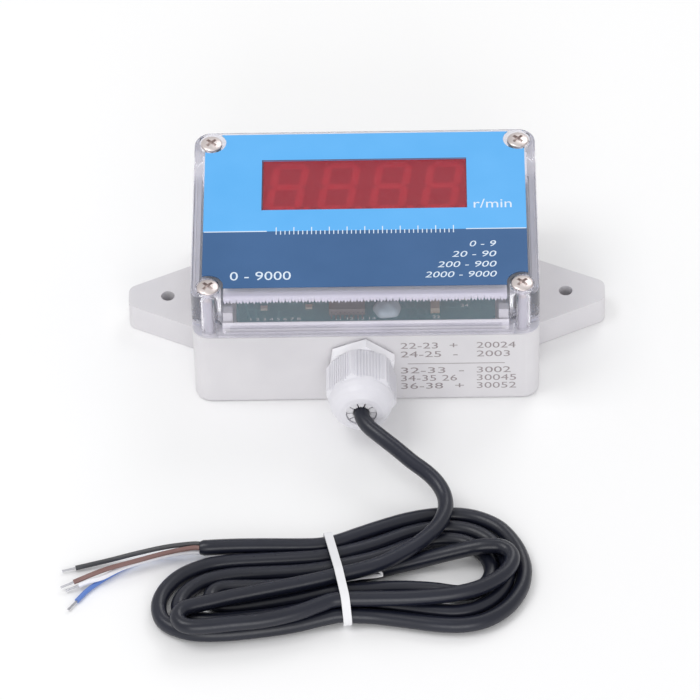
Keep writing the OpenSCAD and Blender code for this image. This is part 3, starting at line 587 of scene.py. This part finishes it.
# Cores inside the case: the same wires, from the inner end of the sheath up to the board.
# They are covered in soft brown PVC and curve up behind the gland.
inner_cover = skinned(
    "inner_cover", rgb(138, 92, 82), rgb(120, 80, 74), grain=1800, smooth=0.35, rough=0.5, bump=0.12
)
dress("inner_leads", inner_cover)


# Front bar: a thin white wall of the case that stands up inside the lid, between the two front guides.
# It is moulded with the case and hides the front edge of the board.
BAR_LOW, BAR_HIGH = (-41.2, -30.85, 24.8), (41.2, -30.25, 28.6)
BAR_EDGE, BAR_EDGE_STEPS = 0.15, 2
# The bar is painted a lighter white than the case it is moulded with, as painted light for a wall that stands
# in the shade of the face film.
bar_white_painted_light = skinned(
    "bar_white_painted_light", rgb(252, 250, 252), rgb(245, 243, 247), grain=1400, smooth=0.42, rough=0.56, bump=0.25
)
work = bmesh.new()
bmesh.ops.create_cube(work, size=1)
for v in work.verts:
    v.co = Vector([(a + b) / 2 + (b - a) * c for a, b, c in zip(BAR_LOW, BAR_HIGH, v.co)]) * MM
bmesh.ops.bevel(work, geom=work.edges[:], offset=BAR_EDGE * MM, segments=BAR_EDGE_STEPS, affect="EDGES")
front_bar = mesh_piece("front_bar", work, bar_white_painted_light)
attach(front_bar, "root")


# Circuit board: glass-fibre laminate under a green solder mask, with fine copper tracks showing through.
# It stands on four posts, held by small pan-head screws, and is marked with white numbers.
TRACK_DEPTH = 0.04 * MM
TRACK_WANDER = 0.55
TRACK_SPAN = (0.05, 0.09)
CLOUD_SCALE, CLOUD_SPAN, CLOUD_SHOWN = 260.0, (0.4, 0.6), (0.25, 0.85)
copper_tracks, given, taken, add, link = new_group(
    "copper_tracks",
    [("Mask", "Color"), ("Track", "Color"), ("Pitch", "Float")],
    [("Colour", "Color"), ("Height", "Float")],
)
place = add("ShaderNodeTexCoord").outputs["Object"]
cells = add("ShaderNodeTexVoronoi")
cells.feature = "DISTANCE_TO_EDGE"
cells.inputs["Randomness"].default_value = TRACK_WANDER
link(place, cells.inputs["Vector"])
link(given.outputs["Pitch"], cells.inputs["Scale"])
track = remap(add, link, cells.outputs["Distance"], *TRACK_SPAN, 1.0, 0.0)
cloud = remap(add, link, noise(add, link, place, CLOUD_SCALE), *CLOUD_SPAN, *CLOUD_SHOWN)
shown = maths(add, link, "MULTIPLY", track, cloud)
link(mix_colour(add, link, shown, given.outputs["Mask"], given.outputs["Track"]), taken.inputs["Colour"])
link(track, taken.inputs["Height"])

board_green, add, link, shader = new_material("board_green")
tracks = add("ShaderNodeGroup")
tracks.node_tree = copper_tracks
tracks.inputs["Mask"].default_value = rgb(40, 118, 126)
tracks.inputs["Track"].default_value = rgb(70, 142, 148)
tracks.inputs["Pitch"].default_value = 330
relief = add("ShaderNodeBump")
relief.inputs["Strength"].default_value = 0.3
relief.inputs["Distance"].default_value = TRACK_DEPTH
link(tracks.outputs["Colour"], shader.inputs["Base Color"])
link(tracks.outputs["Height"], relief.inputs["Height"])
link(relief.outputs["Normal"], shader.inputs["Normal"])
shader.inputs["Roughness"].default_value = 0.4
dress("main_board", board_green)

mark_ink = skinned(
    "mark_ink", rgb(226, 232, 232), rgb(208, 216, 216), grain=2600, smooth=0.4, rough=0.6, bump=0.1
)
board_marks = lettering(
    "board_marks",
    [
        ("1 2 3 4 5 6 7 8", -33.2, -29.2, 1.0, 14.5, "left"),
        ("11 12 13 14", -8.6, -29.3, 0.9, 11.5, "left"),
        ("22", 19.2, -29.2, 1.1, 2.2, "left"),
        ("24", 27.4, -24.6, 1.1, 2.2, "left"),
    ],
    mark_ink,
)
board_marks.location.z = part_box("main_board")[1].z
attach(board_marks, "root")

nickel = skinned(
    "nickel", rgb(238, 234, 230), rgb(222, 216, 210), grain=2600, smooth=0.25, rough=0.42, bump=0.12,
    Metallic=0.85,
)
dress("board_screws", nickel)


# Chips: moulded resin bodies with tinned leads bent down to the board.
# The resin is grey-brown and dull, and so is the tin where the leads stand out at the sides.
CONTROLLER_D, REGULATOR_D = 7.5, 7.0
LEAD_CLEAR = 0.01


def along(add, link, axis):
    """The place on a piece along one axis, in metres."""
    split = add("ShaderNodeSeparateXYZ")
    link(add("ShaderNodeTexCoord").outputs["Object"], split.inputs[0])
    return split.outputs[axis]


def overlay(material, mask, colour):
    """Lays another colour over the material's own where the mask is 1."""
    add, link, shader = nodes_of(material)
    under = shader.inputs["Base Color"].links[0].from_socket
    link(mix_colour(add, link, mask, under, colour), shader.inputs["Base Color"])


def leaded(name, node, resin, shade, body_depth):
    """Resin over the chip's body, tin over the leads that stand out in front of and behind it."""
    material = skinned(name, resin, shade, grain=2200, smooth=0.45, rough=0.65, bump=0.25)
    add, link, shader = nodes_of(material)
    low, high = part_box(node)
    middle = (low.y + high.y) / 2
    away = maths(add, link, "ABSOLUTE", maths(add, link, "SUBTRACT", along(add, link, "Y"), middle), 0.0)
    lead = maths(add, link, "GREATER_THAN", away, (body_depth / 2 + LEAD_CLEAR) * MM)
    overlay(material, lead, rgb(132, 134, 138))
    link(lead, shader.inputs["Metallic"])
    dress(node, material)


leaded("controller_resin", "controller_chip", rgb(104, 97, 96), rgb(92, 85, 84), CONTROLLER_D)
leaded("regulator_resin", "voltage_regulator", rgb(66, 66, 68), rgb(56, 56, 58), REGULATOR_D)


# Capacitor and small parts: a drawn aluminium can on a square foot, and fired ceramic chips.
# They are soldered flat on the board, the can bright and the chips a dull tan.
can_metal = skinned(
    "can_metal", rgb(196, 198, 202), rgb(176, 178, 182), grain=1800, smooth=0.22, rough=0.38, bump=0.1,
    Metallic=0.9,
)
ceramic = skinned(
    "ceramic", rgb(150, 138, 122), rgb(176, 170, 160), grain=1500, smooth=0.35, rough=0.55, bump=0.2
)
dress("filter_capacitor", can_metal)
dress("chip_components", ceramic)


# Sealant: a lump of pale silicone dabbed beside the controller, over the joints of the cable's cores.
# It set as it sagged, so it is widest at the board and a little uneven.
LUMP_ROUNDS = 4
UNEVEN, TAPER_X, TAPER_Y = 0.07, 0.22, 0.3
WAVES_X, WAVES_Y, WAVE_START = 5, 4, 1
sealant = skinned(
    "sealant", rgb(190, 203, 208), rgb(158, 176, 184), grain=700, smooth=0.3, rough=0.5, bump=0.4
)
bead_low, bead_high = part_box("sealant_bead")
work = bmesh.new()
bmesh.ops.create_icosphere(work, subdivisions=LUMP_ROUNDS, radius=1)
for v in work.verts:
    steep = max(0.0, v.co.z) ** 0.5
    lump = 1 + UNEVEN * math.sin(WAVES_X * v.co.x + WAVE_START) * math.cos(WAVES_Y * v.co.y)
    shares = (
        v.co.x * lump * (1 - TAPER_X * steep),
        v.co.y * lump * (1 - TAPER_Y * steep),
        2 * steep * lump / (1 + UNEVEN) - 1,
    )
    v.co = Vector([a + (b - a) * (0.5 + 0.5 * c) for a, b, c in zip(bead_low, bead_high, shares)])
sealant_lump = mesh_piece("sealant_lump", work, sealant)
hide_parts("sealant_bead")
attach(sealant_lump, "root")


# Display: a black moulded block with four digits of diffusing bars, soldered in by two rows of tinned pins.
# The bars are cast in red resin and, unlit, show only faintly behind the red film.
display_black = skinned(
    "display_black", rgb(44, 36, 38), rgb(36, 29, 31), grain=1800, smooth=0.5, rough=0.7, bump=0.25
)
bar_red = skinned(
    "bar_red", rgb(212, 74, 80), rgb(204, 66, 74), grain=2000, smooth=0.4, rough=0.55, bump=0.15
)
dress("display_module", display_black)
dress("digit_segments", bar_red)
dress("display_pins", tinned)


# Gasket: a cord of milky silicone in the groove of the rim, seen as a thin line in the seam.
# It is soft and dull, pressed flat by the lid.
silicone = skinned(
    "silicone", rgb(222, 220, 226), rgb(206, 204, 212), grain=1500, smooth=0.5, rough=0.7, bump=0.2
)
dress("lid_gasket", silicone)


# Lid: a clear polycarbonate shell with hollow columns for its screws and a lip that drops into the case.
# It is polished, with faint flow marks and a very slight lilac cast in its thickness.
# Its index of refraction is set low, so that the square corners of its walls don't go dark.
LID_IOR = 1.2
FLOW_SCALE, POLISH_SCALE, POLISH = 90.0, 700.0, (0.03, 0.08)


def let_light_through(material, tint):
    """Lets light fall through a clear piece onto what lies behind it."""
    add, link, shader = nodes_of(material)
    path = add("ShaderNodeLightPath")
    clear = add("ShaderNodeBsdfTransparent")
    clear.inputs["Color"].default_value = tint
    passing = add("ShaderNodeMixShader")
    falling = maths(add, link, "MAXIMUM", path.outputs["Is Shadow Ray"], path.outputs["Is Diffuse Ray"])
    link(falling, passing.inputs[0])
    link(shader.outputs[0], passing.inputs[1])
    link(clear.outputs[0], passing.inputs[2])
    link(passing.outputs[0], material.node_tree.nodes["Material Output"].inputs["Surface"])


clear_lid, add, link, shader = new_material("clear_lid")
place = add("ShaderNodeTexCoord").outputs["Object"]
flow = noise(add, link, place, FLOW_SCALE)
polish = noise(add, link, place, POLISH_SCALE)
link(mix_colour(add, link, flow, rgb(250, 249, 253), rgb(244, 243, 250)), shader.inputs["Base Color"])
link(remap(add, link, polish, *DRIFT_SPAN, *POLISH), shader.inputs["Roughness"])
shader.inputs["Transmission Weight"].default_value = 0.93
shader.inputs["IOR"].default_value = LID_IOR
let_light_through(clear_lid, (0.98, 0.98, 0.99, 1))
dress("front_cover", clear_lid)


# Backing strip: a milky strip of adhesive sheet on the inside of the lid, in front of the face film.
# It turns down the front wall, and its edge is torn into fine points. Its colour is painted lighter towards
# the back, as painted light against the shade that the face film casts on it through the lid.
STRIP_X, STRIP_BACK, STRIP_FRONT = 40.6, -27.5, -32.25
STRIP_Z, STRIP_BEND, STRIP_HANG, STRIP_T = 39.45, 0.2, 1.0, 0.1
PAINTED_LIGHT_FROM_Y, PAINTED_LIGHT_TO_Y = -31.4, -29.4
TORN_STEPS = 174
TORN, TORN_UNEVEN, TORN_WANDER = 0.5, 0.2, 0.1
UNEVEN_TURN, UNEVEN_START, WANDER_TURN = 1.7, 0.4, 0.11
work = bmesh.new()
rows = []
for i in range(TORN_STEPS + 1):
    x = STRIP_X * (2 * i / TORN_STEPS - 1)
    point = TORN + TORN_UNEVEN * math.sin(i * UNEVEN_TURN + UNEVEN_START)
    torn = point * (1 if i % 2 else -1) + TORN_WANDER * math.sin(i * WANDER_TURN)
    profile = (
        (STRIP_BACK, STRIP_Z), (STRIP_FRONT + STRIP_BEND, STRIP_Z), (STRIP_FRONT, STRIP_Z - STRIP_BEND),
        (STRIP_FRONT, STRIP_Z - STRIP_HANG - torn),
    )
    rows.append([work.verts.new((x * MM, y * MM, z * MM)) for y, z in profile])
for row, following in zip(rows, rows[1:]):
    for k in range(len(profile) - 1):
        work.faces.new((row[k], row[k + 1], following[k + 1], following[k]))
strip_milky = skinned(
    "strip_milky", rgb(216, 213, 225), rgb(207, 204, 217), grain=500, smooth=0.5, rough=0.7, bump=0.3
)
add, link, _ = nodes_of(strip_milky)
# Painted light: the strip's colour is lifted towards the back, where the face film shades it.
painted_light_mask = remap(add, link, along(add, link, "Y"), PAINTED_LIGHT_FROM_Y * MM, PAINTED_LIGHT_TO_Y * MM, 0.0, 1.0)
overlay(strip_milky, painted_light_mask, rgb(254, 252, 255))
backing_strip = mesh_piece("backing_strip", work, strip_milky)
sheeted = backing_strip.modifiers.new("sheet_thickness", "SOLIDIFY")
sheeted.thickness = STRIP_T * MM
sheeted.offset = 0
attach(backing_strip, "root")


# Lid screws: nickel-plated pan-head screws with a cross recess, one down each corner column.
# The plating is bright on the head; the thread down in the column is painted darker and lilac-grey, as
# painted shade in the column, and is made less metallic.
SHANK_TOP, HEAD_SEAT = 37.5, 38.5
HEAD_METALLIC, SHANK_METALLIC = 0.85, 0.15
screw_nickel = skinned(
    "screw_nickel", rgb(230, 220, 218), rgb(208, 198, 196), grain=2600, smooth=0.25, rough=0.42, bump=0.12
)
add, link, shader = nodes_of(screw_nickel)
# Painted shade: below the head the colour turns to a darker lilac-grey.
shank_painted_shade = remap(add, link, along(add, link, "Z"), SHANK_TOP * MM, HEAD_SEAT * MM, 1.0, 0.0)
overlay(screw_nickel, shank_painted_shade, rgb(196, 194, 202))
link(remap(add, link, shank_painted_shade, 0.0, 1.0, HEAD_METALLIC, SHANK_METALLIC), shader.inputs["Metallic"])
dress("cover_screws", screw_nickel)


# Face film: printed in two blues, with white rules, a row of graduation ticks and plain numbers.
# It is stuck on the lid with its corners notched for the screws, and beside the window stands a unit.
FILM_SPLIT_Y = -7.8
BLOTCH_SCALE, SATIN_SCALE, SATIN = 60.0, 1500.0, (0.3, 0.42)
RULE_LOW, RULE_TOP = -7.95, -7.6
TICKS, TICK_X, TICK_PITCH, TICK_HALF_W = 41, -25.6, 1.28, 0.14
TICK_LOW, TICK_TOP, LONG_TICK_TOP, LONG_TICK_EVERY = -9.2, -7.6, -6.2, 4
RANGES_RIGHT, RANGE_H = 37.8, 2.4
face_print, add, link, shader = new_material("face_print")
place = add("ShaderNodeTexCoord").outputs["Object"]
upper = maths(add, link, "GREATER_THAN", along(add, link, "Y"), FILM_SPLIT_Y * MM)
blotch = remap(add, link, noise(add, link, place, BLOTCH_SCALE), *DRIFT_SPAN, 0.0, 1.0)
sky = mix_colour(add, link, blotch, rgb(94, 177, 241), rgb(101, 182, 245))
slate = mix_colour(add, link, blotch, rgb(62, 99, 145), rgb(67, 104, 151))
link(mix_colour(add, link, upper, slate, sky), shader.inputs["Base Color"])
satin = noise(add, link, place, SATIN_SCALE)
link(remap(add, link, satin, *DRIFT_SPAN, *SATIN), shader.inputs["Roughness"])
shader.inputs["Specular IOR Level"].default_value = 0.2
dress("face_label", face_print)

white_ink = skinned(
    "white_ink", rgb(226, 238, 250), rgb(216, 230, 245), grain=2200, smooth=0.3, rough=0.42, bump=0.05
)
white_marks = [rule(-46.5, RULE_LOW, -28.3, RULE_TOP), rule(29.2, RULE_LOW, 46.6, RULE_TOP)]
for i in range(TICKS):
    x = TICK_X + TICK_PITCH * i
    top = TICK_TOP if i % LONG_TICK_EVERY else LONG_TICK_TOP
    white_marks.append(rule(x - TICK_HALF_W, TICK_LOW, x + TICK_HALF_W, top))
face_rules = flat_mesh("face_rules", white_marks, white_ink)
face_unit = lettering(
    "face_unit",
    [
        ("r/min", 31.6, 0.9, 3.7, 11.0, "left"),
        ("0 - 9000", -38.7, -27.9, 3.5, 17.5, "left"),
    ],
    white_ink,
)
face_ranges = lettering(
    "face_ranges",
    [
        ("0 - 9", RANGES_RIGHT, -15.2, RANGE_H, 7.6, "right"),
        ("20 - 90", RANGES_RIGHT, -19.4, RANGE_H, 12.8, "right"),
        ("200 - 900", RANGES_RIGHT, -23.6, RANGE_H, 17.0, "right"),
        ("2000 - 9000", RANGES_RIGHT, -27.7, RANGE_H, 20.6, "right"),
    ],
    white_ink,
    slant=0.2,
)
film_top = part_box("face_label")[1].z
for piece in (face_rules, face_unit, face_ranges):
    piece.location.z = film_top
    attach(piece, "root")


# Window: a red see-through film over the digits, in a cut-out of the face film.
# A dark line is painted down its left edge and along its top, as painted shadow of the cut-out's edge.
EDGE_LEFT, EDGE_RIGHT, EDGE_LOW, EDGE_TOP, EDGE_W = -30.0, 29.7, 1.0, 22.2, 0.3
red_film = skinned(
    "red_film", rgb(164, 44, 59), rgb(158, 38, 54), grain=300, smooth=0.3, rough=0.38, bump=0.0,
    Alpha=0.5, Specular_IOR_Level=0.15,
)
let_light_through(red_film, (1, 0.8, 0.8, 1))
dress("display_filter", red_film)
# Painted shadow: a dark strip along the window's left and top edges.
edge_shadow_paint = skinned(
    "edge_shadow_paint", rgb(92, 58, 78), rgb(80, 52, 72), grain=2200, smooth=0.3, rough=0.42, bump=0.05
)
window_edge_shadow = flat_mesh(
    "window_edge_shadow",
    [
        rule(EDGE_LEFT, EDGE_LOW, EDGE_LEFT + EDGE_W, EDGE_TOP),
        rule(EDGE_LEFT, EDGE_TOP - EDGE_W, EDGE_RIGHT, EDGE_TOP),
    ],
    edge_shadow_paint,
)
window_edge_shadow.location.z = film_top
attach(window_edge_shadow, "root")


# Bench: a wide, pale, matt table top just under the object.
# It is only there to carry the shadow, and isn't part of the object.
BENCH_HALF, BENCH_DROP = 4, 0.1 * MM
bench_pale = skinned(
    "bench_pale", rgb(252, 252, 252), rgb(250, 250, 251), grain=30, smooth=0.7, rough=0.8, bump=0.0
)
work = bmesh.new()
work.faces.new([
    work.verts.new((x * BENCH_HALF, y * BENCH_HALF, 0)) for x, y in ((-1, -1), (1, -1), (1, 1), (-1, 1))
])
bench_top = mesh_piece("bench_top", work, bench_pale)
bench_top.location.z = -BENCH_DROP


# Light: an even white surround and three broad soft lamps, the largest low in front.
# All three point at the middle of the object.
LIT_SPOT = Vector((0, -0.04, 0.02))
world = bpy.data.worlds.new("soft_studio")
bpy.context.scene.world = world
world.use_nodes = True
surround = world.node_tree.nodes["Background"]
surround.inputs["Color"].default_value = (1, 1, 1, 1)
surround.inputs["Strength"].default_value = 0.68
for name, spot, size, power in (
    ("key_light", (-0.45, -0.1, 0.95), 0.5, 2.6),
    ("rim_light", (0.35, 0.7, 0.8), 0.5, 1.8),
    ("front_light", (0.1, -1.3, 0.4), 0.8, 5.0),
):
    lamp = bpy.data.lights.new(name, "AREA")
    lamp.size = size
    lamp.energy = power
    holder = bpy.data.objects.new(name, lamp)
    holder.location = spot
    holder.rotation_euler = (LIT_SPOT - Vector(spot)).to_track_quat("-Z", "Y").to_euler()
    bpy.context.scene.collection.objects.link(holder)


# Camera: looks down on the front of the object from a distance, through a long lens.
# It is rolled a little, as the photo is.
AZIMUTH, ELEVATION, ROLL = math.radians(1.13), math.radians(45.18), math.radians(-1.57)
LOOKED_AT, DISTANCE = Vector((-5.37, 0, -14.6)) * MM, 1.619
SENSOR_W, FOCAL_PIXELS, FRAME_PIXELS = 36, 5448, 700
back = Vector((
    math.sin(AZIMUTH) * math.cos(ELEVATION), -math.cos(AZIMUTH) * math.cos(ELEVATION), math.sin(ELEVATION)
))
right = Vector((0, 0, 1)).cross(back).normalized()
up = back.cross(right)
turned_right = right * math.cos(ROLL) + up * math.sin(ROLL)
turned_up = up * math.cos(ROLL) - right * math.sin(ROLL)
eye = LOOKED_AT + back * DISTANCE
view = bpy.data.cameras.new("photo_view")
view.sensor_width = SENSOR_W
view.lens = FOCAL_PIXELS / FRAME_PIXELS * SENSOR_W
view.clip_end = 20
camera = bpy.data.objects.new("photo_view", view)
camera.matrix_world = Matrix((
    (turned_right.x, turned_up.x, back.x, eye.x),
    (turned_right.y, turned_up.y, back.y, eye.y),
    (turned_right.z, turned_up.z, back.z, eye.z),
    (0, 0, 0, 1),
))
bpy.context.scene.collection.objects.link(camera)
bpy.context.scene.camera = camera
bpy.context.scene.view_settings.view_transform = "Standard"
